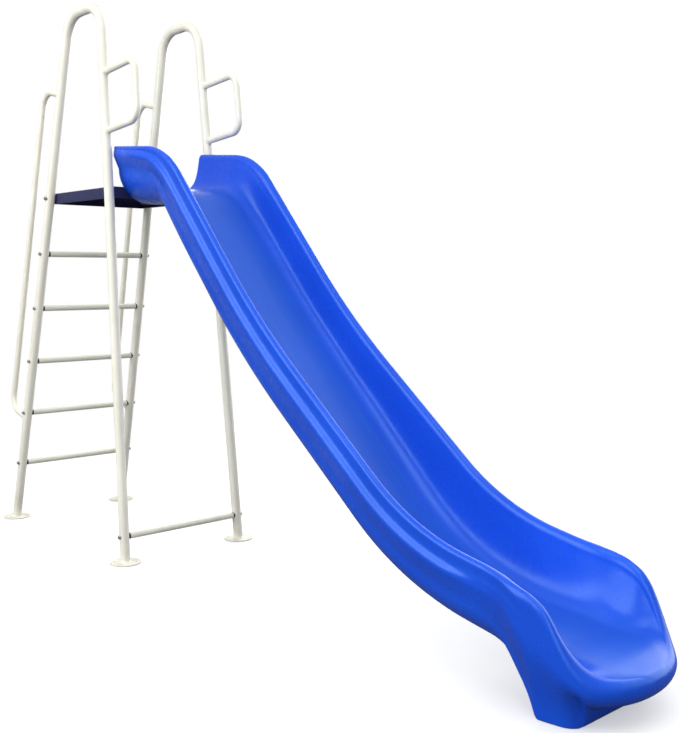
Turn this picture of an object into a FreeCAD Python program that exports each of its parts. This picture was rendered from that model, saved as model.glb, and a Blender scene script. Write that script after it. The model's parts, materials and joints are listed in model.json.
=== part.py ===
"""Pool slide: a tubular ladder frame with a deck, carrying a double-skinned moulded chute.

The frame is two leaning arches of bent tube, tied by rungs, a front brace and the deck.
Millimetres. +X points down the slide, +Y is the left of someone about to slide, +Z is up.
The slide is symmetric about the plane Y = 0 and stands on the plane Z = 0.
The origin is on the ground, in the middle of the slide's overall length and width.
"""
import FreeCAD
import Part
import math
import os

V = FreeCAD.Vector

# --- where the front feet stand, measured from the middle of the overall length
FRONT_FOOT_X = -688.0

# --- arch tubes (one each side: front leg, top bend, rear leg, all one tube)
ARCH_TUBE_RADIUS = 24.15
ARCH_TUBE_WALL = 2.6
ARCH_TOP_Z = 2752.0
ARCH_BEND_RADIUS = 145.0
HALF_SPACING_GROUND = 344.0
HALF_SPACING_TOP = 284.0
FOOT_SPREAD = 1267.0
FRONT_LEG_LEAN = -0.0864
REAR_LEG_LEAN = 0.2534

# --- foot plates
PLATE_RADIUS = 75.0
PLATE_THICKNESS = 6.0
PLATE_CORNER = 1.0
ANCHOR_COUNT = 4
ANCHOR_CIRCLE_RADIUS = 55.0
ANCHOR_HOLE_RADIUS = 6.0
WELD_SIZE = 5.0

# --- rungs and front brace
RUNG_COUNT = 5
RUNG_FIRST_Z = 335.0
RUNG_PITCH = 300.0
BRACE_Z = 130.0
RUNG_RADIUS = 16.0
RUNG_WALL = 2.0
PLUG_FLANGE = 5.0
PLUG_STEM = 12.0
INSERT_LENGTH = 26.0

# --- handrails behind the rear legs, grab loops in front of the front legs
RAIL_RADIUS = 16.0
RAIL_WALL = 2.0
HANDRAIL_TOP_Z = 2364.0
HANDRAIL_BOTTOM_Z = 600.0
HANDRAIL_STANDOFF = 200.0
HANDRAIL_BEND_RADIUS = 90.0
LOOP_TOP_Z = 2415.0
LOOP_BOTTOM_Z = 2128.0
LOOP_STANDOFF = 302.0
LOOP_BEND_RADIUS = 65.0

# --- deck: a pressed tray with turned-down flanges and turned-in lips
DECK_TOP_Z = 1860.0
DECK_DEPTH = 55.0
DECK_SHEET = 3.0
DECK_HALF_WIDTH = 279.0
DECK_REAR_X = -828.0
DECK_FRONT_X = -171.0
DECK_LIP = 15.0
DECK_CORNER = 5.0
DECK_BEAD_COUNT = 11
DECK_BEAD_PITCH = 50.0
DECK_BEAD_HALF_LENGTH = 215.0
DECK_BEAD_RADIUS = 6.0
DECK_BEAD_HEIGHT = 1.6
DECK_BOLT_Z = 1832.0
STIFFENER_SPACING = 220.0
STIFFENER_WIDTH = 50.0
STIFFENER_DEPTH = 30.0
STIFFENER_SHEET = 2.5
LUG_LENGTH = 34.0
LUG_HEIGHT = 40.0
LUG_THICKNESS = 5.0
LUG_END_GAP = 10.0

# --- bolts
RUNG_BOLT_RADIUS = 4.0
RUNG_BOLT_HOLE_RADIUS = 4.5
RUNG_BOLT_HEAD_FLATS = 13.0
RUNG_BOLT_HEAD_HEIGHT = 5.3
DECK_BOLT_RADIUS = 5.0
DECK_BOLT_HOLE_RADIUS = 5.5
DECK_BOLT_HEAD_FLATS = 17.0
DECK_BOLT_HEAD_HEIGHT = 6.4
NUT_HEIGHT = 8.0
WASHER_THICKNESS = 2.0
RUNG_WASHER_RADIUS = 10.0
DECK_WASHER_RADIUS = 11.0
SADDLE_THICKNESS = 4.0

# --- chute, given along its crest line (the top edge of its side walls)
CHUTE_REAR_X = -171.0
CHUTE_REAR_CREST_Z = 2056.0
ENTRY_FALL = 5.1
ENTRY_RUN = 304.0
ENTRY_BEND_RADIUS = 416.0
STEEP_FALL = 48.0
STEEP_RUN = 581.0
LONG_BEND_RADIUS = 3627.0
LOWER_FALL = 38.4
LOWER_RUN = 583.0
RUNOUT_BEND_RADIUS = 983.0
RUNOUT_FALL = 10.2
RUNOUT_RUN = 480.0

CHUTE_HALF_WIDTH = 258.0
LIP_HALF_THICKNESS = 7.0
SKIN = 6.0
BED_CORNER_RADIUS = 55.0
LEDGE = 6.0

# --- chute nose and foot; the lines are (x, z) in the side view
FLARE = 36.0
FLARE_START_X = 2200.0
FLARE_END_X = 2520.0
NOSE_REAR_X = 2300.0
BED_MEETS_NOSE_X = 2520.0
NOSE_CENTRE_X = 2500.0
NOSE_REACH = 218.0
NOSE_HALF_WIDTH = 300.0
NOSE_ROUNDING = 58.0
NOSE_LOW_Z = 84.0
NOSE_TOP_Z = 230.0
NOSE_TOP_SLOPE = 0.09
SIDE_FALL_LINE = [
    (2400, 450), (2440, 428), (2482, 399), (2512, 366), (2538, 326),
    (2564, 283), (2587, 243), (2606, 208), (2650, 150),
]
SIDE_FALL_INNER_Y = 196.0
FOOT_SWEEP = [(2150, -400, 248), (2328, -400, 150), (2415, -400, 18)]
FOOT_TOP_Z = 222.0
FOOT_REAR_X = 2432.0
FOOT_FRONT_X = 2560.0
FOOT_HALF_WIDTH_REAR = 232.0
FOOT_HALF_WIDTH_FRONT = 202.0
FOOT_CORNER_RADIUS = 30.0
CORE_START = 60.0
CORE_END = 3120.0
CHUTE_BOLT_SPACING = 150.0
CHUTE_INSERT_RADIUS = 9.0
CHUTE_INSERT_LENGTH = 25.0
CHUTE_BOLT_LENGTH = 28.0


# ---------------------------------------------------------------- helpers

def export(name, shape):
    """Move a finished piece so that the origin is where the frame says, and write it."""
    placed = shape.copy()
    placed.translate(V(FRONT_FOOT_X, 0, 0))
    placed.exportStep("parts/" + name + ".step")


def group(solids):
    return Part.makeCompound(solids)


def bent_path(points, radius):
    """A wire through the points, with each inner corner rounded to the same radius."""
    edges = []
    start = points[0]
    for before, corner, after in zip(points, points[1:], points[2:]):
        arrive = (corner - before).normalize()
        leave = (after - corner).normalize()
        turn = arrive.getAngle(leave)
        back = radius * math.tan(turn / 2)
        first = corner - arrive * back
        last = corner + leave * back
        inward = (leave - arrive).normalize()
        middle = corner + inward * (radius / math.cos(turn / 2) - radius)
        edges.append(Part.LineSegment(start, first).toShape())
        edges.append(Part.Arc(first, middle, last).toShape())
        start = last
    edges.append(Part.LineSegment(start, points[-1]).toShape())
    return Part.Wire(edges)


def swept_rod(path, radius):
    start = path.Edges[0].firstVertex().Point
    heading = path.Edges[0].tangentAt(path.Edges[0].FirstParameter)
    ring = Part.Wire([Part.makeCircle(radius, start, heading)])
    return path.makePipeShell([ring], True, False)


def swept_tube(path, radius, wall):
    return swept_rod(path, radius).cut(swept_rod(path, radius - wall))


def straight_tube(start, end, radius, wall):
    along = end - start
    rod = Part.makeCylinder(radius, along.Length, start, along)
    return rod.cut(Part.makeCylinder(radius - wall, along.Length, start, along))


def hexagon_prism(flats, height):
    corner_radius = flats / math.sqrt(3)
    corners = []
    for step in range(7):
        angle = math.radians(60 * step)
        corners.append(V(corner_radius * math.cos(angle), corner_radius * math.sin(angle), 0))
    prism = Part.Face(Part.makePolygon(corners)).extrude(V(0, 0, height))
    rounding = Part.makeCone(corner_radius + height * 1.7, flats * 0.47, height * 1.09)
    return prism.common(rounding)


def aim(shape, position, direction):
    """Turn a piece built along +Z to point along the direction, and set it in place."""
    placed = shape.copy()
    placed.Placement = FreeCAD.Placement(position, FreeCAD.Rotation(V(0, 0, 1), direction))
    return placed


def hex_bolt(radius, length, flats, head_height):
    """A bolt whose head sits above Z = 0 and whose shank runs down from it."""
    head = hexagon_prism(flats, head_height)
    shank = Part.makeCylinder(radius, length - 1, V(0, 0, 1 - length))
    tip = Part.makeCone(radius - 1, radius, 1, V(0, 0, -length))
    return head.fuse([shank, tip]).removeSplitter()


def hex_nut(radius, flats, height):
    return hexagon_prism(flats, height).cut(Part.makeCylinder(radius, height))


def washer(inner, outer, thickness):
    return Part.makeCylinder(outer, thickness).cut(Part.makeCylinder(inner, thickness))


# ---------------------------------------------------------------- legs

def half_spacing(z):
    """Distance from the middle plane to a leg's centre line: the arches lean together."""
    return HALF_SPACING_GROUND + (HALF_SPACING_TOP - HALF_SPACING_GROUND) * z / ARCH_TOP_Z


def front_leg(side, z):
    return V(FRONT_LEG_LEAN * z, side * half_spacing(z), z)


def rear_leg(side, z):
    return V(REAR_LEG_LEAN * z - FOOT_SPREAD, side * half_spacing(z), z)


def leg_rod(leg, side, radius):
    """A leg's straight stretch as a solid rod, a little longer than the leg."""
    low = leg(side, -60)
    high = leg(side, ARCH_TOP_Z)
    return Part.makeCylinder(radius, (high - low).Length, low, high - low)


def across_leg(leg, side, z, radius):
    """A drill level across a leg, from one side of it to the other."""
    centre = leg(side, z)
    reach = 2 * ARCH_TUBE_RADIUS
    return Part.makeCylinder(radius, 2 * reach, V(centre.x, centre.y - reach, z), V(0, 1, 0))


def rung_heights():
    return [RUNG_FIRST_Z + RUNG_PITCH * step for step in range(RUNG_COUNT)]


def tie_places():
    """Every end of every rung and of the brace, as (leg, side, height)."""
    places = [(rear_leg, side, z) for z in rung_heights() for side in (-1, 1)]
    places += [(front_leg, side, BRACE_Z) for side in (-1, 1)]
    return places


def arch_tube(side):
    corners = [
        front_leg(side, -60),
        front_leg(side, ARCH_TOP_Z),
        rear_leg(side, ARCH_TOP_Z),
        rear_leg(side, -60),
    ]
    tube = swept_tube(bent_path(corners, ARCH_BEND_RADIUS), ARCH_TUBE_RADIUS, ARCH_TUBE_WALL)
    buried = Part.makeBox(3000, 1400, 200 + PLATE_THICKNESS, V(-2000, -700, -200))
    drills = [buried]
    for leg, leg_side, z in tie_places():
        if leg_side == side:
            drills.append(across_leg(leg, side, z, RUNG_BOLT_HOLE_RADIUS))
    drills.append(across_leg(rear_leg, side, DECK_BOLT_Z, DECK_BOLT_HOLE_RADIUS))
    return tube.cut(drills)


def foot_plate(leg, side):
    centre = leg(side, 0)
    plate = Part.makeCylinder(PLATE_RADIUS, PLATE_THICKNESS)
    plate = plate.makeFillet(PLATE_CORNER, [plate.Edges[0]])
    holes = []
    for step in range(ANCHOR_COUNT):
        angle = math.radians(360 * (step + 0.5) / ANCHOR_COUNT)
        x = ANCHOR_CIRCLE_RADIUS * math.cos(angle)
        y = ANCHOR_CIRCLE_RADIUS * math.sin(angle)
        holes.append(Part.makeCylinder(ANCHOR_HOLE_RADIUS, PLATE_THICKNESS, V(x, y, 0)))
    plate = plate.cut(holes)
    plate.translate(centre)
    base = leg(side, PLATE_THICKNESS)
    upward = leg(side, PLATE_THICKNESS + 100) - base
    weld = Part.makeCone(
        ARCH_TUBE_RADIUS + 2 * WELD_SIZE, ARCH_TUBE_RADIUS, 2 * WELD_SIZE, base - upward * 0.04, upward
    )
    above = Part.makeBox(200, 200, 50, V(base.x - 100, base.y - 100, PLATE_THICKNESS))
    weld = weld.common(above).cut(leg_rod(leg, side, ARCH_TUBE_RADIUS))
    return plate.fuse(weld).removeSplitter()


# ---------------------------------------------------------------- rungs and brace

def leg_face(leg, side, z):
    """Where a level tie meets the inner face of a leg."""
    centre = leg(side, z)
    return V(centre.x, centre.y - side * ARCH_TUBE_RADIUS, z)


def tie_tube(leg, z):
    inset = V(0, PLUG_FLANGE, 0)
    right_end = leg_face(leg, -1, z) + inset
    left_end = leg_face(leg, 1, z) - inset
    return straight_tube(right_end, left_end, RUNG_RADIUS, RUNG_WALL)


def end_plug(leg, side, z):
    """Black plug: a flange between tie and leg, hollowed to fit the leg, and a stem inside."""
    inward = V(0, -side, 0)
    face = leg_face(leg, side, z)
    bore = RUNG_RADIUS - RUNG_WALL
    crown = face - inward * 8
    flange = Part.makeCylinder(RUNG_RADIUS, PLUG_FLANGE + 8, crown, inward)
    stem = Part.makeCylinder(bore, PLUG_STEM, face + inward * PLUG_FLANGE, inward)
    drill = Part.makeCylinder(RUNG_BOLT_HOLE_RADIUS, 60, face - inward * 20, inward)
    return flange.fuse(stem).cut([leg_rod(leg, side, ARCH_TUBE_RADIUS), drill]).removeSplitter()


def threaded_insert(leg, side, z):
    inward = V(0, -side, 0)
    start = leg_face(leg, side, z) + inward * (PLUG_FLANGE + PLUG_STEM)
    slug = Part.makeCylinder(RUNG_RADIUS - RUNG_WALL, INSERT_LENGTH, start, inward)
    return slug.cut(Part.makeCylinder(RUNG_BOLT_RADIUS, INSERT_LENGTH, start, inward))


def saddle_washer(leg, side, z, outer, hole):
    """A washer hollowed on one face to sit on the leg, flat on the other for the head."""
    outward = V(0, side, 0)
    centre = leg(side, z)
    blank = Part.makeCylinder(outer, ARCH_TUBE_RADIUS + SADDLE_THICKNESS, centre, outward)
    drill = Part.makeCylinder(hole, 60, centre, outward)
    return blank.cut([leg_rod(leg, side, ARCH_TUBE_RADIUS), drill])


def leg_bolt(leg, side, z, bolt):
    """A bolt driven level through a leg from its outer side."""
    head_seat = leg(side, z) + V(0, side * (ARCH_TUBE_RADIUS + SADDLE_THICKNESS), 0)
    return aim(bolt, head_seat, V(0, side, 0))


def rung_bolts():
    length = 2 * ARCH_TUBE_RADIUS + SADDLE_THICKNESS + PLUG_FLANGE + PLUG_STEM + 20
    bolt = hex_bolt(RUNG_BOLT_RADIUS, length, RUNG_BOLT_HEAD_FLATS, RUNG_BOLT_HEAD_HEIGHT)
    return group([leg_bolt(leg, side, z, bolt) for leg, side, z in tie_places()])


def rung_washers():
    radii = (RUNG_WASHER_RADIUS, RUNG_BOLT_HOLE_RADIUS)
    return group([saddle_washer(leg, side, z, *radii) for leg, side, z in tie_places()])


# ---------------------------------------------------------------- handrails and grab loops

def side_rail(leg, side, top_z, bottom_z, standoff, bend_radius):
    """A bent rail standing off a leg, in the arch's own plane, its ends shaped to the leg."""
    along = (leg(side, 1000) - leg(side, 0)).normalize()
    off = V(1, 0, 0) - along * along.x
    off = off.normalize() * standoff
    top = leg(side, top_z)
    bottom = leg(side, bottom_z)
    path = bent_path([top, top + off, bottom + off, bottom], bend_radius)
    return swept_tube(path, RAIL_RADIUS, RAIL_WALL).cut(leg_rod(leg, side, ARCH_TUBE_RADIUS))


def handrail(side):
    heights = (HANDRAIL_TOP_Z, HANDRAIL_BOTTOM_Z)
    return side_rail(rear_leg, side, *heights, -HANDRAIL_STANDOFF, HANDRAIL_BEND_RADIUS)


def grab_loop(side):
    return side_rail(front_leg, side, LOOP_TOP_Z, LOOP_BOTTOM_Z, LOOP_STANDOFF, LOOP_BEND_RADIUS)


# ---------------------------------------------------------------- deck

def deck():
    length = DECK_FRONT_X - DECK_REAR_X
    width = 2 * DECK_HALF_WIDTH
    low_z = DECK_TOP_Z - DECK_DEPTH
    tray = Part.makeBox(length, width, DECK_DEPTH, V(DECK_REAR_X, -DECK_HALF_WIDTH, low_z))
    rounded = [edge for edge in tray.Edges if edge.BoundBox.ZMax > DECK_TOP_Z - 0.01]
    tray = tray.makeFillet(DECK_CORNER, rounded)
    inside = Part.makeBox(
        length - 2 * DECK_SHEET,
        width - 2 * DECK_SHEET,
        DECK_DEPTH - 2 * DECK_SHEET,
        V(DECK_REAR_X + DECK_SHEET, DECK_SHEET - DECK_HALF_WIDTH, low_z + DECK_SHEET),
    )
    opening = Part.makeBox(
        length - 2 * DECK_LIP,
        width - 2 * DECK_LIP,
        DECK_DEPTH / 2,
        V(DECK_REAR_X + DECK_LIP, DECK_LIP - DECK_HALF_WIDTH, low_z - 1),
    )
    tray = tray.cut([inside, opening])
    tray = tray.fuse(deck_beads()).removeSplitter()
    return tray.cut(deck_drills())


def deck_beads():
    """Low rounded beads pressed up across the deck for grip."""
    middle = (DECK_REAR_X + DECK_FRONT_X) / 2
    beads = []
    for step in range(DECK_BEAD_COUNT):
        x = middle + DECK_BEAD_PITCH * (step - (DECK_BEAD_COUNT - 1) / 2)
        drop = DECK_BEAD_RADIUS + 4 - DECK_BEAD_HEIGHT
        start = V(x, -DECK_BEAD_HALF_LENGTH, DECK_TOP_Z - drop)
        rod = Part.makeCylinder(DECK_BEAD_RADIUS + 4, 2 * DECK_BEAD_HALF_LENGTH, start, V(0, 1, 0))
        floor = Part.makeBox(40, 600, 40, V(x - 20, -300, DECK_TOP_Z - 41))
        beads.append(rod.cut(floor))
    return beads


def front_lug_bolt_x():
    return front_leg(1, DECK_BOLT_Z).x - ARCH_TUBE_RADIUS - LUG_LENGTH / 2


def chute_bolt_places():
    return [V(DECK_FRONT_X, CHUTE_BOLT_SPACING * step, DECK_BOLT_Z) for step in (-1, 0, 1)]


def deck_drills():
    drills = []
    for side in (-1, 1):
        for x in (rear_leg(side, DECK_BOLT_Z).x, front_lug_bolt_x()):
            start = V(x, side * (DECK_HALF_WIDTH - 20), DECK_BOLT_Z)
            drills.append(Part.makeCylinder(DECK_BOLT_HOLE_RADIUS, 40, start, V(0, side, 0)))
    for place in chute_bolt_places():
        start = place - V(20, 0, 0)
        drills.append(Part.makeCylinder(DECK_BOLT_HOLE_RADIUS, 40, start, V(1, 0, 0)))
    return drills


def deck_stiffeners():
    """Two channels across the underside of the deck sheet, open downward."""
    middle = (DECK_REAR_X + DECK_FRONT_X) / 2
    half = DECK_HALF_WIDTH - DECK_SHEET
    top_z = DECK_TOP_Z - DECK_SHEET
    channels = []
    for step in (-1, 1):
        x = middle + step * STIFFENER_SPACING / 2
        outer = Part.makeBox(
            STIFFENER_WIDTH, 2 * half, STIFFENER_DEPTH,
            V(x - STIFFENER_WIDTH / 2, -half, top_z - STIFFENER_DEPTH),
        )
        inner = Part.makeBox(
            STIFFENER_WIDTH - 2 * STIFFENER_SHEET, 2 * half, STIFFENER_DEPTH - STIFFENER_SHEET,
            V(x - STIFFENER_WIDTH / 2 + STIFFENER_SHEET, -half, top_z - STIFFENER_DEPTH),
        )
        channels.append(outer.cut(inner))
    return group(channels)


def deck_lugs():
    """Tabs welded behind the front legs; the deck's side flanges are bolted to them."""
    tabs = []
    for side in (-1, 1):
        leg_x = front_leg(side, DECK_BOLT_Z).x
        start_x = leg_x - ARCH_TUBE_RADIUS - LUG_LENGTH
        low_y = DECK_HALF_WIDTH if side > 0 else -DECK_HALF_WIDTH - LUG_THICKNESS
        tab = Part.makeBox(
            LUG_LENGTH + ARCH_TUBE_RADIUS - LUG_END_GAP, LUG_THICKNESS, LUG_HEIGHT,
            V(start_x, low_y, DECK_BOLT_Z - LUG_HEIGHT / 2),
        )
        ends = [e for e in tab.Edges if e.BoundBox.XMax < start_x + 1 and e.BoundBox.YLength > 1]
        tab = tab.makeFillet(10, ends)
        hole_start = V(front_lug_bolt_x(), low_y - 5, DECK_BOLT_Z)
        hole = Part.makeCylinder(DECK_BOLT_HOLE_RADIUS, 20, hole_start, V(0, 1, 0))
        tabs.append(tab.cut([hole, leg_rod(front_leg, side, ARCH_TUBE_RADIUS)]))
    return group(tabs)


def deck_leg_bolts():
    length = 2 * ARCH_TUBE_RADIUS + SADDLE_THICKNESS + DECK_SHEET + 22
    bolt = hex_bolt(DECK_BOLT_RADIUS, length, DECK_BOLT_HEAD_FLATS, DECK_BOLT_HEAD_HEIGHT)
    return group([leg_bolt(rear_leg, side, DECK_BOLT_Z, bolt) for side in (-1, 1)])


def deck_leg_washers():
    radii = (DECK_WASHER_RADIUS, DECK_BOLT_HOLE_RADIUS)
    places = [(rear_leg, side, DECK_BOLT_Z) for side in (-1, 1)]
    return group([saddle_washer(leg, side, z, *radii) for leg, side, z in places])


def deck_lug_bolts():
    bolt = hex_bolt(DECK_BOLT_RADIUS, 30, DECK_BOLT_HEAD_FLATS, DECK_BOLT_HEAD_HEIGHT)
    bolts = []
    for side in (-1, 1):
        seat_y = side * (DECK_HALF_WIDTH + LUG_THICKNESS)
        bolts.append(aim(bolt, V(front_lug_bolt_x(), seat_y, DECK_BOLT_Z), V(0, side, 0)))
    return group(bolts)


def deck_nut_places():
    """Inner faces of the deck's side flanges, where its four bolts come through."""
    places = []
    for side in (-1, 1):
        for x in (rear_leg(side, DECK_BOLT_Z).x, front_lug_bolt_x()):
            places.append((side, V(x, side * (DECK_HALF_WIDTH - DECK_SHEET), DECK_BOLT_Z)))
    return places


def deck_nut_washers():
    ring = washer(DECK_BOLT_HOLE_RADIUS, DECK_WASHER_RADIUS, WASHER_THICKNESS)
    return group([aim(ring, place, V(0, -side, 0)) for side, place in deck_nut_places()])


def deck_nuts():
    nut = hex_nut(DECK_BOLT_RADIUS, DECK_BOLT_HEAD_FLATS, NUT_HEIGHT)
    nuts = []
    for side, place in deck_nut_places():
        seat = place - V(0, side * WASHER_THICKNESS, 0)
        nuts.append(aim(nut, seat, V(0, -side, 0)))
    return group(nuts)


def chute_bolts():
    bolt = hex_bolt(DECK_BOLT_RADIUS, CHUTE_BOLT_LENGTH, DECK_BOLT_HEAD_FLATS, DECK_BOLT_HEAD_HEIGHT)
    back = V(DECK_SHEET + WASHER_THICKNESS, 0, 0)
    return group([aim(bolt, place - back, V(-1, 0, 0)) for place in chute_bolt_places()])


def chute_washers():
    ring = washer(DECK_BOLT_HOLE_RADIUS, DECK_WASHER_RADIUS, WASHER_THICKNESS)
    back = V(DECK_SHEET, 0, 0)
    return group([aim(ring, place - back, V(-1, 0, 0)) for place in chute_bolt_places()])


def chute_inserts():
    """Metal inserts moulded into the chute's rear face to take its bolts."""
    inserts = []
    for place in chute_bolt_places():
        slug = Part.makeCylinder(CHUTE_INSERT_RADIUS, CHUTE_INSERT_LENGTH, place, V(1, 0, 0))
        bore = Part.makeCylinder(DECK_BOLT_RADIUS, CHUTE_INSERT_LENGTH, place, V(1, 0, 0))
        inserts.append(slug.cut(bore))
    return group(inserts)


# ---------------------------------------------------------------- chute

def crest_stretches():
    """The crest line as (kind, fall at start, fall at end, length or radius) stretches."""
    return [
        ("straight", ENTRY_FALL, ENTRY_FALL, ENTRY_RUN),
        ("bend", ENTRY_FALL, STEEP_FALL, ENTRY_BEND_RADIUS),
        ("straight", STEEP_FALL, STEEP_FALL, STEEP_RUN),
        ("bend", STEEP_FALL, LOWER_FALL, LONG_BEND_RADIUS),
        ("straight", LOWER_FALL, LOWER_FALL, LOWER_RUN),
        ("bend", LOWER_FALL, RUNOUT_FALL, RUNOUT_BEND_RADIUS),
        ("straight", RUNOUT_FALL, RUNOUT_FALL, RUNOUT_RUN),
    ]


def stretch_length(stretch):
    kind, fall_in, fall_out, amount = stretch
    if kind == "straight":
        return amount
    return amount * abs(math.radians(fall_out - fall_in))


def chute_length():
    return sum(stretch_length(stretch) for stretch in crest_stretches())


def crest_at(distance):
    """Position (x, z) and fall angle in radians at a distance along the crest line."""
    x = CHUTE_REAR_X
    z = CHUTE_REAR_CREST_Z
    for stretch in crest_stretches():
        kind, fall_in, fall_out, amount = stretch
        length = stretch_length(stretch)
        part = min(distance, length)
        start = math.radians(fall_in)
        if kind == "straight":
            fall = start
            x += part * math.cos(start)
            z -= part * math.sin(start)
        else:
            fall = start + math.radians(fall_out - fall_in) * part / length
            signed = amount if fall_out > fall_in else -amount
            x += signed * (math.sin(fall) - math.sin(start))
            z -= signed * (math.cos(start) - math.cos(fall))
        distance -= part
        if distance <= 0:
            break
    return x, z, fall


def blend(low, high, start, end, value):
    """Ease smoothly from low to high while value goes from start to end."""
    part = min(max((value - start) / (end - start), 0.0), 1.0)
    part = part * part * (3 - 2 * part)
    return low + (high - low) * part


def section_shape(distance):
    """Half of the chute's cross section at a distance along the crest: (y, depth, radius)."""
    bed = blend(196, 158, 100, 900, distance) + blend(0, 76, 1400, 2800, distance)
    bed -= blend(0, 58, 2850, 3450, distance)
    bottom = blend(275, 253, 100, 900, distance) + blend(0, 18, 1400, 2800, distance)
    bottom += blend(0, 46, 3000, 3250, distance)
    ridge = blend(38, 76, 150, 620, distance)
    ledge = LEDGE - blend(0, LEDGE - 1.5, 2800, 3100, distance)
    round_bottom = blend(120, 75, 100, 900, distance) + blend(0, 40, 2350, 3150, distance)
    bed_half = blend(178, 200, 100, 900, distance) - blend(0, 10, 2350, 3150, distance)
    flare = blend(0, FLARE, FLARE_START_X, FLARE_END_X, crest_at(distance)[0])
    inner = CHUTE_HALF_WIDTH - LIP_HALF_THICKNESS + flare
    outer = CHUTE_HALF_WIDTH + LIP_HALF_THICKNESS + flare
    return [
        (bed_half, bed, BED_CORNER_RADIUS),
        (inner, 0, LIP_HALF_THICKNESS * 0.7),
        (outer, 0, LIP_HALF_THICKNESS * 0.7),
        (outer, ridge, 2.0),
        (outer + ledge, ridge + 2.2 * ledge, 2.0),
        (outer - flare - 8, bottom, round_bottom),
    ]


def core_shape(distance):
    """Half of the hollow between the two skins, under the bed."""
    outline = section_shape(distance)
    bed_half, bed, bed_radius = outline[0]
    inner = outline[1][0]
    outer = outline[2][0]
    bottom_half, bottom, bottom_radius = outline[5]
    top = 0.35 * bed
    wall = inner + (bed_half - inner) * top / bed
    return [
        (bed_half + 0.75 * SKIN, bed + SKIN, bed_radius + SKIN),
        (wall + SKIN, top, 4.0),
        (outer - SKIN, top, 4.0),
        (bottom_half - SKIN, bottom - SKIN, bottom_radius - SKIN),
    ]


def on_section(distance, y, depth):
    x, z, fall = crest_at(distance)
    return V(x - depth * math.sin(fall), y, z - depth * math.cos(fall))


def section_wire(distance, shape):
    """A closed wire of straights and rounded corners, symmetric about the middle plane."""
    left = shape(distance)
    corners = left + [(-y, depth, radius) for y, depth, radius in reversed(left)]
    points = [on_section(distance, y, depth) for y, depth, radius in corners]
    radii = [radius for y, depth, radius in corners]
    count = len(points)
    cuts = []
    for i in range(count):
        before = (points[i - 1] - points[i]).normalize()
        after = (points[(i + 1) % count] - points[i]).normalize()
        half_angle = before.getAngle(after) / 2
        back = radii[i] / math.tan(half_angle)
        toward = (before + after).normalize()
        middle = points[i] + toward * (radii[i] / math.sin(half_angle) - radii[i])
        cuts.append((points[i] + before * back, middle, points[i] + after * back))
    edges = []
    for i in range(count):
        first, middle, last = cuts[i]
        following = cuts[(i + 1) % count][0]
        edges.append(Part.Arc(first, middle, last).toShape())
        edges.append(Part.LineSegment(last, following).toShape())
    return Part.Wire(edges)


def section_distances(first, last):
    """Closer together round the bends, wider apart along the straights."""
    distances = [first]
    reached = 0.0
    for stretch in crest_stretches():
        length = stretch_length(stretch)
        steps = max(2, round(length / 150))
        inner = [reached + length * (step + 1) / steps for step in range(steps)]
        distances += [d for d in inner if first + 20 < d < last - 20]
        reached += length
    return distances + [last]


def chute_loft(shape, first, last):
    wires = [section_wire(distance, shape) for distance in section_distances(first, last)]
    return Part.makeLoft(wires, True, False)


def nose_side(side):
    """One edge of the nose's plan outline, easing out from the chute's side to the widest place."""
    rear_y = side * (CHUTE_HALF_WIDTH - 4)
    wide_y = side * NOSE_HALF_WIDTH
    swell = Part.BezierCurve()
    swell.setPoles([
        V(NOSE_REAR_X, rear_y, NOSE_LOW_Z),
        V(NOSE_REAR_X + 110, rear_y, NOSE_LOW_Z),
        V(NOSE_CENTRE_X - 90, wide_y, NOSE_LOW_Z),
        V(NOSE_CENTRE_X, wide_y, NOSE_LOW_Z),
    ])
    return swell.toShape()


def nose_front():
    """The curved front of the nose's plan outline: half an ellipse, from left to right."""
    middle = V(NOSE_CENTRE_X, 0, NOSE_LOW_Z)
    wide = V(NOSE_CENTRE_X, NOSE_HALF_WIDTH, NOSE_LOW_Z)
    tip = V(NOSE_CENTRE_X + NOSE_REACH, 0, NOSE_LOW_Z)
    return Part.Arc(Part.Ellipse(wide, tip, middle), 0, math.pi).toShape()


def nose():
    """The rounded end of the run-out: a half ellipse in plan, its edge rolled all round."""
    rear_y = CHUTE_HALF_WIDTH - 4
    rear = Part.LineSegment(V(NOSE_REAR_X, -rear_y, NOSE_LOW_Z), V(NOSE_REAR_X, rear_y, NOSE_LOW_Z))
    edges = [rear.toShape(), nose_side(-1), nose_front(), nose_side(1)]
    outline = Part.Wire(Part.__sortEdges__(edges))
    block = Part.Face(outline).extrude(V(0, 0, 300))
    rise = NOSE_TOP_SLOPE * 400
    block = block.cut(side_prism([
        (NOSE_CENTRE_X - 400, NOSE_TOP_Z + rise), (NOSE_CENTRE_X + 400, NOSE_TOP_Z - rise),
        (NOSE_CENTRE_X + 400, 800), (NOSE_CENTRE_X - 400, 800),
    ]))
    rolled = [
        edge for edge in block.Edges
        if edge.BoundBox.XLength > 60 and edge.BoundBox.ZLength < 30
    ]
    block = block.makeFillet(NOSE_ROUNDING, rolled)
    start, middle, end = FOOT_SWEEP
    sweep = Part.Arc(V(*start), V(*middle), V(*end)).toShape()
    under_bed = Part.makePolygon([
        V(*end), V(end[0], -400, -50), V(2900, -400, -50), V(2900, -400, 600),
        V(BED_MEETS_NOSE_X, -400, 600), V(BED_MEETS_NOSE_X, -400, 224), V(start[0], -400, 224),
        V(*start),
    ])
    allowed = Part.Face(Part.Wire(Part.__sortEdges__([sweep] + under_bed.Edges)))
    return block.common(allowed.extrude(V(0, 800, 0)))


def side_prism(points):
    """A solid as wide as the slide, from a closed outline of (x, z) points in the side view."""
    corners = [V(x, -400, z) for x, z in points]
    return Part.Face(Part.makePolygon(corners + corners[:1])).extrude(V(0, 800, 0))


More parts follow.
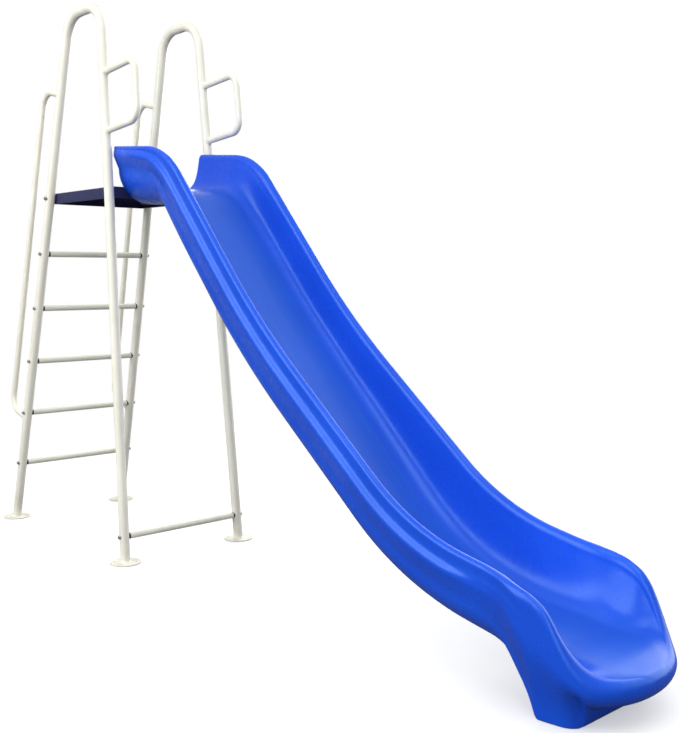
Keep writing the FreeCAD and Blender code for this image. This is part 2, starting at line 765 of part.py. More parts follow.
def beyond_nose():
    """Everything ahead of and beside the nose's plan outline, to trim the side walls with."""
    wide = V(NOSE_CENTRE_X, NOSE_HALF_WIDTH, NOSE_LOW_Z)
    opposite = V(NOSE_CENTRE_X, -NOSE_HALF_WIDTH, NOSE_LOW_Z)
    straight = Part.LineSegment(opposite, wide).toShape()
    half_ellipse = Part.Face(Part.Wire([nose_front(), straight])).extrude(V(0, 0, 900))
    half_ellipse.translate(V(0, 0, -200))
    return Part.makeBox(400, 900, 800, V(NOSE_CENTRE_X, -450, -100)).cut(half_ellipse)


def above_sides():
    """The room above the falling front ends of the two side walls."""
    fall = Part.BSplineCurve()
    fall.interpolate([V(x, 0, z) for x, z in SIDE_FALL_LINE])
    ceiling = V(0, 0, 900)
    first = fall.StartPoint
    last = fall.EndPoint
    lid = Part.makePolygon([last, last + ceiling, first + ceiling, first])
    side_view = Part.Face(Part.Wire(Part.__sortEdges__([fall.toShape()] + lid.Edges)))
    rooms = []
    for low_y in (-400, SIDE_FALL_INNER_Y):
        room = side_view.extrude(V(0, 400 - SIDE_FALL_INNER_Y, 0))
        room.translate(V(0, low_y, 0))
        rooms.append(room)
    return rooms


def foot_block(inset):
    """The block the chute stands on: a swept rear, a flat sole, and sides drawn in forward."""
    rear_low = V(FOOT_REAR_X, -400, 0)
    sweep = Part.Arc(V(*FOOT_SWEEP[0]), V(*FOOT_SWEEP[1]), V(*FOOT_SWEEP[2])).toShape()
    outline = Part.makePolygon([
        V(*FOOT_SWEEP[2]), rear_low, V(FOOT_FRONT_X - 15, -400, 0),
        V(FOOT_FRONT_X + 30, -400, 92), V(FOOT_FRONT_X + 20, -400, 160), V(*FOOT_SWEEP[0]),
    ])
    profile = Part.Wire(Part.__sortEdges__([sweep] + outline.Edges))
    if inset:
        profile = profile.makeOffset2D(-inset)
    side_view = Part.Face(profile).extrude(V(0, 800, 0))
    side_view = side_view.common(Part.makeBox(900, 900, FOOT_TOP_Z - inset, V(1950, -450, 0)))
    rear_half = FOOT_HALF_WIDTH_REAR - inset
    front_half = FOOT_HALF_WIDTH_FRONT - inset
    front_x = FOOT_FRONT_X + 40 - inset
    corner = FOOT_CORNER_RADIUS
    plan = Part.makePolygon([
        V(2000, -rear_half - 14, -50), V(FOOT_REAR_X, -rear_half, -50), V(front_x, -front_half, -50),
        V(front_x, front_half, -50), V(FOOT_REAR_X, rear_half, -50), V(2000, rear_half + 14, -50),
        V(2000, -rear_half - 14, -50),
    ])
    block = Part.Face(plan).extrude(V(0, 0, 500))
    front_edges = [
        edge for edge in block.Edges
        if edge.BoundBox.ZLength > 400 and edge.BoundBox.XMin > front_x - 1
    ]
    return side_view.common(block.makeFillet(corner, front_edges))


def chute():
    outer = chute_loft(section_shape, 0, chute_length())
    behind = Part.makeBox(400, 800, 900, V(CHUTE_REAR_X - 400, -400, 1500))
    body = outer.cut(above_sides() + [behind, beyond_nose()]).fuse([nose(), foot_block(0)])
    core = chute_loft(core_shape, CORE_START, CORE_END)
    body = body.cut([core, foot_block(SKIN)])
    sockets = []
    for place in chute_bolt_places():
        sockets.append(
            Part.makeCylinder(CHUTE_INSERT_RADIUS, CHUTE_INSERT_LENGTH, place, V(1, 0, 0))
        )
    return body.cut(sockets).removeSplitter()


# ---------------------------------------------------------------- write every piece

def main():
    os.makedirs("parts", exist_ok=True)
    for name, side in (("right", -1), ("left", 1)):
        export(name + "_arch_tube", arch_tube(side))
        export(name + "_handrail", handrail(side))
        export(name + "_grab_loop", grab_loop(side))
        export("front_" + name + "_foot_plate", foot_plate(front_leg, side))
        export("rear_" + name + "_foot_plate", foot_plate(rear_leg, side))
    for number, z in enumerate(rung_heights(), 1):
        export("rung_" + str(number), tie_tube(rear_leg, z))
    export("front_brace", tie_tube(front_leg, BRACE_Z))
    export("tie_bolts", rung_bolts())
    export("tie_washers", rung_washers())
    export("tie_end_plugs", group([end_plug(*place) for place in tie_places()]))
    export("tie_inserts", group([threaded_insert(*place) for place in tie_places()]))
    export("deck", deck())
    export("deck_stiffeners", deck_stiffeners())
    export("deck_lugs", deck_lugs())
    export("deck_leg_bolts", deck_leg_bolts())
    export("deck_leg_washers", deck_leg_washers())
    export("deck_lug_bolts", deck_lug_bolts())
    export("deck_nut_washers", deck_nut_washers())
    export("deck_nuts", deck_nuts())
    export("chute", chute())
    export("chute_bolts", chute_bolts())
    export("chute_washers", chute_washers())
    export("chute_inserts", chute_inserts())


main()
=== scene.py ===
"""Looks of the pool slide: cream tube frame, navy deck and a glossy blue moulded chute.

Metres, in the slide's own frame: +X down the slide, +Y to the left, +Z up.
"""
import json
import math

import bpy
import numpy as np
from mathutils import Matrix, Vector


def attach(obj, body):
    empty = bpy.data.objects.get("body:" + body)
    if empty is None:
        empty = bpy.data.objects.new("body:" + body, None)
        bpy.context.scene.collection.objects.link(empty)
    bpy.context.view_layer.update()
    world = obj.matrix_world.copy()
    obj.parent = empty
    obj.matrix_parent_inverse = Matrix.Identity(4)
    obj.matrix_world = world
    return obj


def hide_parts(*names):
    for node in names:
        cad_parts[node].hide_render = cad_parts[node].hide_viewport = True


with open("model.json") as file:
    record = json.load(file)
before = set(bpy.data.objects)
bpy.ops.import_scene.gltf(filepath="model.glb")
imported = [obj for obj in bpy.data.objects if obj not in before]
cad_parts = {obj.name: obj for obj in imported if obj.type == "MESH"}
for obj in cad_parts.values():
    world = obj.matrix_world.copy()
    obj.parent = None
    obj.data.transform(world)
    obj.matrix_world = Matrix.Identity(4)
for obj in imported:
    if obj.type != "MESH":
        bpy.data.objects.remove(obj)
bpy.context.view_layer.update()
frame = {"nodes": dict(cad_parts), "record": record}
nodes = frame["nodes"]

# --- the tube frame
FRONT_FOOT_X = -0.688
REAR_FOOT_X = FRONT_FOOT_X - 1.267
FRONT_LEAN = -0.0864
REAR_LEAN = 0.2534
HALF_SPACING_GROUND = 0.344
HALF_SPACING_TOP = 0.284
ARCH_TOP_Z = 2.752
LEG_RADIUS = 0.02415
RAIL_RADIUS = 0.016
HANDRAIL_HEIGHTS = (2.364, 0.600)
LOOP_HEIGHTS = (2.415, 2.128)
WELD_RADIUS = 0.0038
WELD_LIFT = 0.0008
WELD_RIPPLE = 0.10
WELD_RIPPLES = 26

# --- the chute's crest line. Chute x is measured from the front feet.
# A stretch is (fall at its start, fall at its end, amount): the amount is the length of a straight
# stretch and the radius of a bent one.
CHUTE_REAR = (-0.171, 2.056)
ENTRY_FALL = math.radians(5.1)
STEEP_FALL = math.radians(48.0)
LOWER_FALL = math.radians(38.4)
RUNOUT_FALL = math.radians(10.2)
CREST_STRETCHES = [
    (ENTRY_FALL, ENTRY_FALL, 0.304),
    (ENTRY_FALL, STEEP_FALL, 0.416),
    (STEEP_FALL, STEEP_FALL, 0.581),
    (STEEP_FALL, LOWER_FALL, 3.627),
    (LOWER_FALL, LOWER_FALL, 0.583),
    (LOWER_FALL, RUNOUT_FALL, 0.983),
    (RUNOUT_FALL, RUNOUT_FALL, 0.700),
]

# --- the chute's section. Widths are from the middle and depths are below the crest.
# A span is the pair of distances down the crest line between which the section changes.
ENTRY_SPAN = (0.10, 0.90)
STEEP_SPAN = (1.40, 2.80)
LIP_SPAN = (0.0, 0.15)
LEDGE_SPAN = (0.0, 0.30)
LEDGE_END_SPAN = (2.78, 2.98)
RIDGE_SPAN = (0.15, 0.62)
SIDE_SPAN = (0.15, 0.60)
HALF_WIDTH = 0.258
ENTRY_LOW_HALF_WIDTH = 0.243
ENTRY_BED_DEPTH = 0.196
BED_DEPTH = 0.160
LOW_BED_DROP = 0.074
RUNOUT_BED_RISE = 0.050
RUNOUT_BED_SPAN = (2.85, 3.45)
ENTRY_BOTTOM_DEPTH = 0.275
BOTTOM_DEPTH = 0.253
LOW_BOTTOM_DROP = 0.018
ENTRY_BED_FLAT = 0.120
BED_FLAT = 0.150
LOW_BED_NARROWING = 0.028
BED_NARROWING_SPAN = (1.40, 3.20)
BED_CURVE = 0.092
LOW_BED_CURVE = 0.072
BED_CURVE_SPAN = (2.40, 3.20)
INNER_ROLL_ACROSS = 0.026
INNER_ROLL_DOWN = 0.036
LIP_RADIUS = 0.017
ENTRY_LIP_RADIUS = 0.009
LIP_END_ANGLE = 0.15
LEDGE = 0.012
ENTRY_LEDGE = 0.003
ENTRY_RIDGE_DEPTH = 0.036
RIDGE_DEPTH = 0.074
ENTRY_CORNER = 0.165
STEEP_CORNER = 0.080
LOW_CORNER = 0.115
FOOT_CORNER = 0.022
SIDES_FLARE = 0.044
FLARE_SPAN_X = (2.20, 2.52)

# --- nose and foot of the chute
NOSE_CENTRE_X = 2.500
NOSE_REACH = 0.218
NOSE_TIP_X = NOSE_CENTRE_X + NOSE_REACH
NOSE_HALF_WIDTH = 0.300
NOSE_SQUARENESS = 2.04
NOSE_MIDDLE_Z = 0.147
NOSE_TOP_Z = 0.179
NOSE_LOW_Z = 0.077
NOSE_LOW_CORE = 0.65
SIDE_RIM_CORE = 0.955
FRONT_RIM_CORE = 0.905
NOSE_BLEND = (2.300, 2.450)
NOSE_ROLL_DOWN = 0.034
# heights of the bed and of the crest line in the nose, as (x, z)
BED_END = [(2.300, 0.232), (2.370, 0.222), (2.450, 0.213), (2.550, 0.205), (2.620, 0.196),
           (2.660, 0.187), (2.700, 0.179), (2.760, 0.179)]
CREST_FALL = [(2.360, 0.438), (2.440, 0.416), (2.482, 0.389), (2.508, 0.358), (2.531, 0.321),
              (2.548, 0.293), (2.563, 0.269), (2.582, 0.241), (2.600, 0.219), (2.618, 0.202),
              (2.640, 0.188), (2.670, 0.180), (2.760, 0.179)]
# the underside's sweep down to the foot is an arc through three points (x, z)
FOOT_SWEEP = ((2.150, 0.248), (2.328, 0.150), (2.415, 0.018))
SWEEP_START_X = 2.05
SWEEP_FROM_DEPTH = 0.45
FOOT_REAR_X = 2.430
FOOT_FRONT_X = 2.560
FOOT_TOP_FRONT_X = 2.615
FOOT_HALF_WIDTH = 0.243
FOOT_TAPER = 0.024
SOLE_ROUNDING = 0.010
SOLE_EDGE = 0.009
FOOT_EDGE = 0.050
# rings that round the rear edge, as (drawn in, set back)
REAR_ROUNDING = ((0.0045, 0.0050), (0.0022, 0.0043), (0.0006, 0.0022))

# --- how many points a half section has, run by run, from the bed's middle to the lip's top
BED_POINTS = 6
WALL_POINTS = 18
LIP_POINTS = 10
# and on down the outside, from the lip's top to the underside's middle
ROLL_POINTS = 6
BAND_POINTS = 5
LEDGE_POINTS = 9
SIDE_POINTS = 6
CORNER_POINTS = 9
UNDER_POINTS = 5
NOSE_RINGS = 44


# ---------------------------------------------------------------- small helpers

def ease(start, end, value):
    """0 up to the start, 1 from the end on, and a smooth rise between them."""
    part = min(max((value - start) / (end - start), 0.0), 1.0)
    return part * part * (3 - 2 * part)


def blend(low, high, start, end, value):
    """Smooth change from low to high while the value goes from start to end."""
    return low + (high - low) * ease(start, end, value)


def bezier(points, count):
    """count + 1 points on a cubic curve, both ends included."""
    t = np.linspace(0, 1, count + 1)[:, None]
    a, b, c, d = [np.array(p, float) for p in points]
    return (1 - t) ** 3 * a + 3 * (1 - t) ** 2 * t * b + 3 * (1 - t) * t ** 2 * c + t ** 3 * d


def arc(centre, radius_y, radius_z, start, end, count):
    """count + 1 points on a stretch of an ellipse, both ends included."""
    angles = np.linspace(start, end, count + 1)
    y = centre[0] + radius_y * np.cos(angles)
    z = centre[1] + radius_z * np.sin(angles)
    return np.column_stack([y, z])


def chain(*runs):
    """Join runs end to end, dropping each repeated joining point."""
    return np.vstack([runs[0]] + [run[1:] for run in runs[1:]])


def mesh_object(name, vertices, faces, smooth=True):
    """A new mesh object in the scene."""
    mesh = bpy.data.meshes.new(name)
    mesh.from_pydata([tuple(v) for v in vertices], [], faces)
    mesh.validate()
    mesh.update()
    obj = bpy.data.objects.new(name, mesh)
    bpy.context.scene.collection.objects.link(obj)
    if smooth:
        mesh.polygons.foreach_set("use_smooth", [True] * len(mesh.polygons))
    return obj


# ---------------------------------------------------------------- chute

def stretch_length(stretch):
    """Length of one stretch of the crest line, straight or bent."""
    fall_in, fall_out, amount = stretch
    if fall_in == fall_out:
        return amount
    return amount * abs(fall_out - fall_in)


def crest_at(distance):
    """Position (x, z) and fall angle at a distance along the crest line."""
    x, z = CHUTE_REAR
    fall = ENTRY_FALL
    for stretch in CREST_STRETCHES:
        fall_in, fall_out, amount = stretch
        length = stretch_length(stretch)
        part = min(distance, length)
        if fall_in == fall_out:
            fall = fall_in
            x += part * math.cos(fall)
            z -= part * math.sin(fall)
        else:
            fall = fall_in + (fall_out - fall_in) * part / length
            signed = amount if fall_out > fall_in else -amount
            x += signed * (math.sin(fall) - math.sin(fall_in))
            z -= signed * (math.cos(fall_in) - math.cos(fall))
        distance -= part
        if distance <= 0:
            break
    return x, z, fall


def circle_through(a, b, c):
    """Centre and radius of the circle through three (x, z) points."""
    rows = [[2 * (b[0] - a[0]), 2 * (b[1] - a[1])], [2 * (c[0] - a[0]), 2 * (c[1] - a[1])]]
    squares = [sum(q * q for q in point) for point in (a, b, c)]
    centre = np.linalg.solve(rows, [squares[1] - squares[0], squares[2] - squares[0]])
    return centre, math.hypot(a[0] - centre[0], a[1] - centre[1])


SWEEP_CENTRE, SWEEP_RADIUS = circle_through(*FOOT_SWEEP)


def underside_z(x):
    """Height of the underside's lowest line under the run-out: sweep, sole, front face, nose."""
    if x < FOOT_REAR_X:
        rise = SWEEP_RADIUS ** 2 - (x - SWEEP_CENTRE[0]) ** 2
        sweep = SWEEP_CENTRE[1] + math.sqrt(max(rise, 0.0))
        if sweep > SOLE_ROUNDING:
            return sweep
        return max(sweep + SOLE_ROUNDING, 0.0) ** 2 / (4 * SOLE_ROUNDING)
    return NOSE_LOW_Z * ease(FOOT_FRONT_X - 0.004, FOOT_TOP_FRONT_X, x)


def foot_share(x):
    """1 where the section runs down into the foot block, 0 where it doesn't."""
    return ease(2.200, 2.400, x) * (1 - ease(FOOT_FRONT_X - 0.006, FOOT_TOP_FRONT_X, x))


def foot_half_width(x):
    """Half width of the foot block, drawn in towards its front and rounded at its front edges."""
    half = FOOT_HALF_WIDTH - FOOT_TAPER * ease(2.400, 2.600, x)
    into_edge = min(max(x - FOOT_FRONT_X + FOOT_EDGE, 0.0), FOOT_EDGE)
    return half - FOOT_EDGE + math.sqrt(FOOT_EDGE ** 2 - into_edge ** 2)


def channel_inside(distance):
    """Bed, wall and the inner half of the crest, from the bed's middle to the crest's top."""
    bed = blend(ENTRY_BED_DEPTH, BED_DEPTH, *ENTRY_SPAN, distance)
    bed += blend(0, LOW_BED_DROP, *STEEP_SPAN, distance)
    bed -= blend(0, RUNOUT_BED_RISE, *RUNOUT_BED_SPAN, distance)
    bed_flat = blend(ENTRY_BED_FLAT, BED_FLAT, *ENTRY_SPAN, distance)
    bed_flat -= blend(0, LOW_BED_NARROWING, *BED_NARROWING_SPAN, distance)
    inner = HALF_WIDTH - INNER_ROLL_ACROSS
    bed_run = np.column_stack([
        np.linspace(0, bed_flat, BED_POINTS + 1),
        np.full(BED_POINTS + 1, bed),
    ])
    wall_run = bezier([
        (bed_flat, bed),
        (bed_flat + blend(BED_CURVE, LOW_BED_CURVE, *BED_CURVE_SPAN, distance), bed),
        (inner - 0.012, 0.50 * bed),
        (inner, INNER_ROLL_DOWN),
    ], WALL_POINTS)
    roll_centre = (HALF_WIDTH, INNER_ROLL_DOWN)
    lip_run = arc(roll_centre, INNER_ROLL_ACROSS, -INNER_ROLL_DOWN, math.pi, math.pi / 2, LIP_POINTS)
    return chain(bed_run, wall_run, lip_run)


def channel_band(distance):
    """The crest's outer roll, the band under it and the ledge that stands out below the band."""
    ridge = blend(ENTRY_RIDGE_DEPTH, RIDGE_DEPTH, *RIDGE_SPAN, distance)
    ledge = blend(ENTRY_LEDGE, LEDGE, *LEDGE_SPAN, distance) * (1 - ease(*LEDGE_END_SPAN, distance))
    lip = blend(ENTRY_LIP_RADIUS, LIP_RADIUS, *LIP_SPAN, distance)
    outer = HALF_WIDTH + lip
    lip_run = arc((HALF_WIDTH, lip), lip, -lip, math.pi / 2, LIP_END_ANGLE, ROLL_POINTS)
    band_top = lip_run[-1][1]
    band_depth = ridge - 0.016 - band_top
    band_run = bezier([
        tuple(lip_run[-1]),
        (outer - 0.002, band_top + 0.45 * band_depth),
        (outer - 0.003, band_top + 0.70 * band_depth),
        (outer, band_top + band_depth),
    ], BAND_POINTS)
    ledge_run = bezier([
        (outer, ridge - 0.016),
        (outer + 0.45 * ledge, ridge - 0.006),
        (outer + ledge, ridge - 0.006),
        (outer + ledge, ridge + 0.012),
    ], LEDGE_POINTS)
    return chain(lip_run, band_run, ledge_run)


def channel_underside(distance, x, top, bottom):
    """The side below the ledge, the lower corner and the underside, to the middle."""
    foot = foot_share(x)
    low_y = blend(ENTRY_LOW_HALF_WIDTH, HALF_WIDTH, *SIDE_SPAN, distance)
    low_y = blend(low_y, foot_half_width(x), 0, 1, foot)
    corner = blend(ENTRY_CORNER, STEEP_CORNER, *ENTRY_SPAN, distance)
    corner = blend(corner, LOW_CORNER, *STEEP_SPAN, distance)
    corner = blend(corner, FOOT_CORNER, 0, 1, foot)
    side_run = np.column_stack([
        np.linspace(top[0], low_y, SIDE_POINTS + 1),
        np.linspace(top[1], bottom - corner, SIDE_POINTS + 1),
    ])
    centre = (low_y - corner, bottom - corner)
    corner_run = arc(centre, corner, corner, 0, math.pi / 2, CORNER_POINTS)
    under_run = np.column_stack([
        np.linspace(low_y - corner, 0, UNDER_POINTS + 1),
        np.full(UNDER_POINTS + 1, bottom),
    ])
    return chain(side_run, corner_run, under_run)


def channel_section(distance, x):
    """Half outline as (y, depth below the crest), from the bed's middle round to the underside."""
    bottom = blend(ENTRY_BOTTOM_DEPTH, BOTTOM_DEPTH, *ENTRY_SPAN, distance)
    bottom += blend(0, LOW_BOTTOM_DROP, *STEEP_SPAN, distance)
    band = channel_band(distance)
    outline = chain(
        channel_inside(distance), band, channel_underside(distance, x, band[-1], bottom)
    )
    flare = SIDES_FLARE * ease(*FLARE_SPAN_X, x)
    fading = np.array([1 - ease(0.5 * bottom, 0.95 * bottom, depth) for depth in outline[:, 1]])
    outline[:, 0] += flare * fading * (outline[:, 0] / HALF_WIDTH) ** 3
    return outline


def through(points, x):
    """A smooth curve through (x, value) points, level beyond the last one."""
    xs = [point[0] for point in points]
    values = [point[1] for point in points]
    slopes = np.gradient(values, xs)
    i = min(max(int(np.searchsorted(xs, x)) - 1, 0), len(xs) - 2)
    width = xs[i + 1] - xs[i]
    t = min(max((x - xs[i]) / width, 0.0), 1.0)
    start = (1 + 2 * t) * (1 - t) ** 2 * values[i] + t * (1 - t) ** 2 * width * slopes[i]
    end = t * t * (3 - 2 * t) * values[i + 1] - t * t * (1 - t) * width * slopes[i + 1]
    return start + end


def nose_ratio(x, y):
    """1 on the nose's plan outline, which is a blunt half ellipse closing straight sides."""
    ahead = max(x - NOSE_CENTRE_X, 0.0) / NOSE_REACH
    aside = y / NOSE_HALF_WIDTH
    return (ahead ** NOSE_SQUARENESS + aside ** NOSE_SQUARENESS) ** (1 / NOSE_SQUARENESS)


def nose_half_width(x, scale=1.0):
    """Half width of the nose's plan outline, or of the same outline drawn smaller."""
    ahead = min(max((x - NOSE_CENTRE_X) / (NOSE_REACH * scale), 0.0), 1.0)
    return scale * NOSE_HALF_WIDTH * (1 - ahead ** NOSE_SQUARENESS) ** (1 / NOSE_SQUARENESS)


def roundness(ratio, core):
    """1 inside the core of an outline, rolling down to 0 on the outline itself."""
    beyond = min(max((ratio - core) / (1 - core), 0.0), 1.0)
    return math.sqrt(1 - beyond ** 2)


def roundness_across(x, ys, core):
    """Roundness at each of the half widths ys, in the upright section at x."""
    return np.array([roundness(nose_ratio(x, y), core) for y in ys])


def rim_core(x):
    """How near the crest stands to the outline: thin sides, then a broad roll at the front."""
    return blend(SIDE_RIM_CORE, FRONT_RIM_CORE, 2.50, 2.66, x)


def along_fractions(points, fractions):
    """Points at the given fractions of a polyline's length."""
    steps = np.hypot(*np.diff(points, axis=0).T)
    length = np.concatenate([[0], np.cumsum(steps)])
    want = np.array(fractions) * length[-1]
    return np.column_stack([np.interp(want, length, points[:, i]) for i in (0, 1)])


def runs_of_fractions(stops):
    """Evenly spread fractions inside each run; stops is [(points, end fraction), ...]."""
    values = [0.0]
    for count, end in stops:
        values += list(np.linspace(values[-1], end, count + 1)[1:])
    return values


def nose_crest_y(x, half, core):
    """Half width at the crest's top, kept inside the outline where the sides close at the front."""
    crest_y = nose_half_width(x, core)
    crest_y = 0.5 * (crest_y + 0.55 * half + math.hypot(crest_y - 0.55 * half, 0.012))
    return min(crest_y, 0.97 * half)


def nose_section(x):
    """Half outline of the run-out's end at x as (y, z), point for point like a channel section."""
    half = nose_half_width(x)
    core = rim_core(x)
    crest_y = nose_crest_y(x, half, core)
    crest_z = through(CREST_FALL, x)
    middle_z = NOSE_MIDDLE_Z + 0.5 * (crest_z - NOSE_TOP_Z)
    roll = min(NOSE_ROLL_DOWN, crest_z - middle_z)
    inside = nose_wall(crest_y, crest_z, through(BED_END, x))
    inside[:, 1] -= roll * (1 - roundness_across(x, inside[:, 0], core))
    ys = crest_y + (half - crest_y) * np.sin(np.linspace(0, math.pi / 2, 80))
    rolled = np.column_stack([ys, crest_z - roll * (1 - roundness_across(x, ys, core))])
    outside_points = ROLL_POINTS + BAND_POINTS + LEDGE_POINTS
    outside = along_fractions(
        np.vstack([rolled, [(half, middle_z)]]), np.linspace(0, 1, outside_points + 1)
    )
    return chain(inside, outside, nose_lower(x, half, middle_z))


def nose_lower(x, half, middle_z):
    """The nose's rounded underside, run over into the foot where there is one."""
    ys = half * np.cos(np.linspace(0, math.pi / 2, 160))
    drop = roundness_across(x, ys, NOSE_LOW_CORE)
    lower = along_fractions(
        np.column_stack([ys, middle_z - (middle_z - NOSE_LOW_Z) * drop]),
        runs_of_fractions([(SIDE_POINTS, 0.22), (CORNER_POINTS, 0.55), (UNDER_POINTS, 1.0)]),
    )
    share = foot_share(x)
    if share > 0:
        lower = lower + share * (foot_outline(x, half, middle_z) - lower)
    return lower


def nose_wall(crest_y, crest_z, bed_z):
    """Bed, curved wall and rounded crest, up to the crest's top; flat where the wall has gone."""
    bed_y = 0.47 * crest_y
    wall_share = min(max(crest_z - bed_z, 0.0) / 0.10, 1.0)
    lip_across = min(INNER_ROLL_ACROSS, 0.10 * crest_y)
    lip_down = INNER_ROLL_DOWN * wall_share
    lip_y = crest_y - lip_across
    lip_z = crest_z - lip_down
    bed = np.column_stack([np.linspace(0, bed_y, BED_POINTS + 1), [bed_z] * (BED_POINTS + 1)])
    wall = bezier([
        (bed_y, bed_z),
        (bed_y + 0.25 * crest_y, bed_z),
        (lip_y - 0.09 * crest_y, 0.5 * (bed_z + lip_z)),
        (lip_y, lip_z),
    ], WALL_POINTS)
    lip = arc((crest_y, lip_z), lip_across, lip_down, math.pi, math.pi / 2, LIP_POINTS)
    return chain(bed, wall, lip)


def foot_outline(x, half, middle_z):
    """The lower half of a section through the foot: side, rounded edge and sole."""
    foot_y = foot_half_width(x)
    sole = underside_z(x)
    edge_z = sole + SOLE_EDGE
    side = bezier([
        (half, middle_z),
        (half, middle_z - 0.070),
        (foot_y + 0.006, edge_z + 0.090),
        (foot_y, edge_z),
    ], SIDE_POINTS)
    centre = (foot_y - SOLE_EDGE, edge_z)
    corner = arc(centre, SOLE_EDGE, -SOLE_EDGE, 0, math.pi / 2, CORNER_POINTS)
    flat = np.column_stack([
        np.linspace(centre[0], 0, UNDER_POINTS + 1),
        np.full(UNDER_POINTS + 1, sole),
    ])
    return chain(side, corner, flat)


def section_plane(distance):
    """Crest point and tilt of the plane a section lies in; upright at the rear and at the nose."""
    x, z, fall = crest_at(distance)
    tilt = fall * ease(0, 0.30, distance) * (1 - ease(2.86, 3.10, distance))
    return x, z, tilt


def half_ring(distance):
    """Half outline in space at a distance along the crest, from the rear to where the sides end."""
    x, z, tilt = section_plane(distance)
    outline = channel_section(distance, x)
    depth = outline[-1, 1]
    if x > SWEEP_START_X:
        low_x = x - depth * math.sin(tilt)
        swept = (z - underside_z(low_x)) / math.cos(tilt)
        extra = max(swept - depth, 0.0)
        start = SWEEP_FROM_DEPTH * depth
        deeper = outline[:, 1] > start
        deeper[:BED_POINTS + WALL_POINTS + LIP_POINTS] = False
        part = np.where(deeper, (outline[:, 1] - start) / (depth - start), 0.0)
        outline[:, 1] += extra * part
    points = np.column_stack([
        x - outline[:, 1] * math.sin(tilt),
        outline[:, 0],
        z - outline[:, 1] * math.cos(tilt),
    ])
    share = ease(*NOSE_BLEND, x)
    if share > 0:
        rolled = nose_section(x)
        rolled = np.column_stack([np.full(len(rolled), x), rolled])
        points = points + share * (rolled - points)
    return points


def ring_step(distance, x):
    """Spacing of the half outlines: close at the rear edge and wherever the shape bends most."""
    if distance < 0.03:
        return 0.008
    if distance < 0.80:
        return 0.018
    if x < SWEEP_START_X:
        return 0.030
    if x < NOSE_BLEND[0]:
        return 0.014
    return 0.009


def chute_rings():
    """Every half outline down the chute, each with its distance along the slide."""
    rings = []
    distance = 0.005
    x = crest_at(distance)[0]
    while x < NOSE_CENTRE_X:
        rings.append((distance, half_ring(distance)))
        distance += ring_step(distance, x)
        x = crest_at(distance)[0]
    for step in range(NOSE_RINGS):
        x = NOSE_TIP_X - NOSE_REACH * (1 - step / NOSE_RINGS) ** 1.6
        rolled = nose_section(x)
        points = np.column_stack([np.full(len(rolled), x), rolled])
        rings.append((distance + x - NOSE_CENTRE_X, points))
    return rings


def inset_ring(points, amount):
    """A rear outline moved inward by the given amount, square to itself."""
    flat = points[:, 1:]
    mirrored = flat * [-1, 1]
    padded = np.vstack([mirrored[1], flat, mirrored[-2]])
    along = padded[2:] - padded[:-2]
    along /= np.linalg.norm(along, axis=1)[:, None]
    normal = np.column_stack([along[:, 1], -along[:, 0]])
    result = points.copy()
    result[:, 1:] = flat + normal * amount
    return result


def whole_ring(half):
    """Both halves of a section as one closed ring."""
    left = half[1:-1][::-1] * [1, -1, 1]
    return np.vstack([half, left])


def end_cap(offset, count, flip):
    """Close an end by joining each inner point to the outer point across the skin."""
    last = count // 2
    top = last // 2
    faces = []
    for step in range(top):
        right = [step, step + 1, last - step - 1, last - step]
        left = [(count - i) % count for i in right]
        for quad in (right, left[::-1]):
            unique = list(dict.fromkeys(quad))
            faces.append([offset + i for i in (unique[::-1] if flip else unique)])
    return faces


def build_chute():
    """The blue moulding as one closed mesh, with a rounded rear edge."""
    rings = chute_rings()
    rear = rings[0][1]
    rounded = []
    for inset, back in REAR_ROUNDING:
        edge = inset_ring(rear, inset)
        edge[:, 0] = rear[:, 0] - back
        rounded.append((rings[0][0] - back, edge))
    rings = rounded + rings
    vertices = []
    coordinates = []
    for distance, half in rings:
        ring = whole_ring(half)
        vertices.append(ring)
        coordinates += [(y, distance) for y in ring[:, 1]]
    count = len(vertices[0])
    faces = end_cap(0, count, False)
    for i in range(len(rings) - 1):
        for j in range(count):
            k = (j + 1) % count
            faces.append([i * count + j, (i + 1) * count + j, (i + 1) * count + k, i * count + k])
    faces += end_cap((len(rings) - 1) * count, count, True)
    vertices = np.vstack(vertices)
    vertices[:, 0] += FRONT_FOOT_X
    chute = mesh_object("chute_moulding", vertices, faces)
    add_coordinates(chute, coordinates)
    return chute


def add_coordinates(obj, coordinates):
    """Store (across, along) for each vertex, for grain that follows the shape."""
    layer = obj.data.uv_layers.new(name="along_piece")
    for loop in obj.data.loops:
        layer.data[loop.index].uv = coordinates[loop.vertex_index]


# ---------------------------------------------------------------- welds

def leg_point(front, side, z):
    """Where a leg's centre line is at height z; side is -1 or 1."""
    lean = FRONT_LEAN if front else REAR_LEAN
    foot_x = FRONT_FOOT_X if front else REAR_FOOT_X
    y = HALF_SPACING_GROUND + (HALF_SPACING_TOP - HALF_SPACING_GROUND) * z / ARCH_TOP_Z
    return Vector((foot_x + lean * z, side * y, z))


